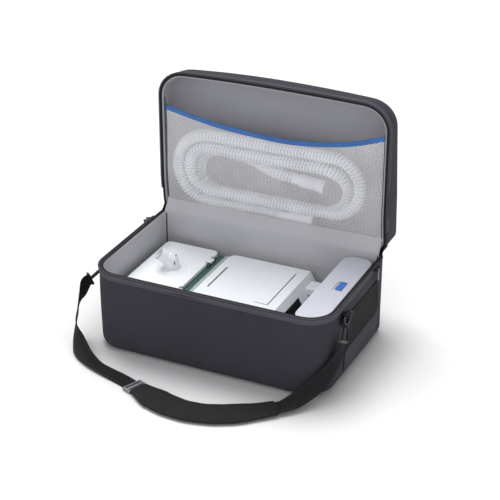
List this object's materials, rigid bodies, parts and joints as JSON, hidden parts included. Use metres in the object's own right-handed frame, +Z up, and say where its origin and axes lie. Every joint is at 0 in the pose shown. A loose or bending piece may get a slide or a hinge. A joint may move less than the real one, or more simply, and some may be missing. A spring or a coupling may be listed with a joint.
{
  "type": "bilevel pap machine",
  "caption": "Bilevel breathing machine with a lift-out humidifier tank, packed in an open padded carry case with its hose, accessory box and shoulder strap.",
  "frame": {"origin": "centre of the case's flat underside", "axes": "+X along the case, +Y towards the lid's hinge, +Z up"},
  "size_m": [0.4829, 0.4708, 0.4146],
  "materials": {
    "case_fabric": "woven",
    "side_fabric": "woven",
    "black_webbing": "woven",
    "zip_coil": "satin",
    "lining": "brushed",
    "floor_felt": "brushed",
    "blue_trim": "satin",
    "net_mesh": "mesh",
    "hardware_metal": "satin",
    "hook_plastic": "satin",
    "adjuster_metal": "satin",
    "hose_white": "satin",
    "cuff_rubber": "matte",
    "white_shell": "satin",
    "foot_rubber": "matte",
    "foam": "foam",
    "inner_plastic": "matte",
    "motor_steel": "satin",
    "impeller_plastic": "satin",
    "board": "satin",
    "display": "gloss",
    "lcd": "satin",
    "filter_fibre": "felt",
    "grille_black": "satin",
    "dial_silver": "satin",
    "button_green": "satin",
    "button_grey": "satin",
    "plate_aluminium": "brushed",
    "tank_clear": "gloss",
    "seal": "matte",
    "box_white": "satin",
    "latch_blue": "satin"
  },
  "bodies": {
    "case": {"case_shell": "case_fabric", "case_lining": "lining", "floor_pad": "floor_felt", "case_binding": "black_webbing", "base_zip_tape": "zip_coil", "side_pocket": "side_fabric", "hinge_strip": "case_fabric", "strap_tabs": "black_webbing", "d_rings": "hardware_metal", "snap_hooks": "hook_plastic", "strap_web_left": "black_webbing", "strap_adjuster": "adjuster_metal", "shoulder_pad": "black_webbing", "strap_web_right": "black_webbing"},
    "slider_left": {"zip_slider_left": "hardware_metal"},
    "slider_right": {"zip_slider_right": "hardware_metal"},
    "pull_left": {"zip_pull_left": "hardware_metal"},
    "pull_right": {"zip_pull_right": "hardware_metal"},
    "lid": {"lid_shell": "case_fabric", "lid_lining": "lining", "lid_binding": "black_webbing", "lid_zip_tape": "zip_coil", "net_pocket": "net_mesh", "pocket_trim": "blue_trim", "hose": "hose_white", "hose_cuff_mask": "cuff_rubber", "hose_cuff_machine": "cuff_rubber"},
    "machine": {"bottom_casing": "white_shell", "top_casing": "white_shell", "rubber_feet": "foot_rubber", "casing_screws": "motor_steel", "muffler_foam": "foam", "blower_housing": "inner_plastic", "motor_can": "motor_steel", "air_duct": "inner_plastic", "main_board": "board", "lcd_panel": "lcd", "display_window": "display", "inlet_filter": "filter_fibre", "power_inlet": "inner_plastic", "humidifier_base": "white_shell", "heater_plate": "plate_aluminium"},
    "rotor": {"impeller": "impeller_plastic", "motor_shaft": "motor_steel"},
    "inlet_cover": {"inlet_grille": "grille_black"},
    "dial": {"control_dial": "dial_silver"},
    "start": {"start_button": "button_green"},
    "ramp": {"ramp_button": "button_grey"},
    "module": {"data_module": "white_shell"},
    "tank": {"water_tank": "tank_clear", "tank_plate": "plate_aluminium", "tank_hinge_pins": "motor_steel"},
    "tank_lid": {"tank_cover": "white_shell", "tank_seal": "seal"},
    "elbow": {"swivel_elbow": "white_shell"},
    "accessory_box": {"box_base": "box_white", "box_hinge_pin": "motor_steel"},
    "accessory_lid": {"box_lid": "box_white"},
    "latch": {"box_latch": "latch_blue"}
  },
  "joints": [
    {"name": "lid_hinge", "type": "hinge", "parent": "case", "child": "lid", "pos_m": [0, 0.1325, 0.1473], "axis": [-1, 0, 0], "range_deg": [-90, 0]},
    {"name": "zip_left_run", "type": "slide", "parent": "case", "child": "slider_left", "axis": [0, -1, 0], "range_m": [0, 0.11]},
    {"name": "zip_right_run", "type": "slide", "parent": "case", "child": "slider_right", "axis": [0, -1, 0], "range_m": [0, 0.11]},
    {"name": "zip_pull_left_swing", "type": "hinge", "parent": "slider_left", "child": "pull_left", "pos_m": [-0.22, 0.0785, 0.1445], "axis": [0, 1, 0], "range_deg": [0, 80]},
    {"name": "zip_pull_right_swing", "type": "hinge", "parent": "slider_right", "child": "pull_right", "pos_m": [0.22, 0.0785, 0.1445], "axis": [0, -1, 0], "range_deg": [0, 80]},
    {"name": "machine_lift", "type": "slide", "parent": "case", "child": "machine", "axis": [0, 0, 1], "range_m": [0, 0.18]},
    {"name": "blower_spin", "type": "hinge", "parent": "machine", "child": "rotor", "pos_m": [0.0303, 0.043, 0.0393], "axis": [0, 0, 1], "continuous": true},
    {"name": "inlet_cover_pull", "type": "slide", "parent": "machine", "child": "inlet_cover", "axis": [0.8762, 0, 0.4819], "range_m": [0, 0.015]},
    {"name": "dial_turn", "type": "hinge", "parent": "machine", "child": "dial", "pos_m": [0.07, -0.085, 0.0683], "axis": [0, -1, 0], "continuous": true},
    {"name": "start_press", "type": "slide", "parent": "machine", "child": "start", "axis": [0, 1, 0], "range_m": [0, 0.0015], "stiffness_N_per_m": 300, "springref_m": -0.0005},
    {"name": "ramp_press", "type": "slide", "parent": "machine", "child": "ramp", "axis": [0, 1, 0], "range_m": [0, 0.0015], "stiffness_N_per_m": 300, "springref_m": -0.0005},
    {"name": "module_slide", "type": "slide", "parent": "machine", "child": "module", "axis": [1, 0, 0], "range_m": [0, 0.02]},
    {"name": "tank_lift", "type": "slide", "parent": "machine", "child": "tank", "axis": [0, 0, 1], "range_m": [0, 0.1]},
    {"name": "tank_lid_hinge", "type": "hinge", "parent": "tank", "child": "tank_lid", "pos_m": [-0.088, 0, 0.0923], "axis": [0, 1, 0], "range_deg": [0, 95]},
    {"name": "elbow_swivel", "type": "hinge", "parent": "tank_lid", "child": "elbow", "pos_m": [-0.138, 0.017, 0.0953], "axis": [0, 0, 1], "range_deg": [-120, 120]},
    {"name": "box_lift", "type": "slide", "parent": "case", "child": "accessory_box", "axis": [0, 0, 1], "range_m": [0, 0.15]},
    {"name": "box_lid_hinge", "type": "hinge", "parent": "accessory_box", "child": "accessory_lid", "pos_m": [0.1444, 0.001, 0.12245], "axis": [0, -1, 0], "range_deg": [0, 100]},
    {"name": "latch_slide", "type": "slide", "parent": "accessory_lid", "child": "latch", "axis": [-1, 0, 0], "range_m": [0, 0.004]}
  ]
}
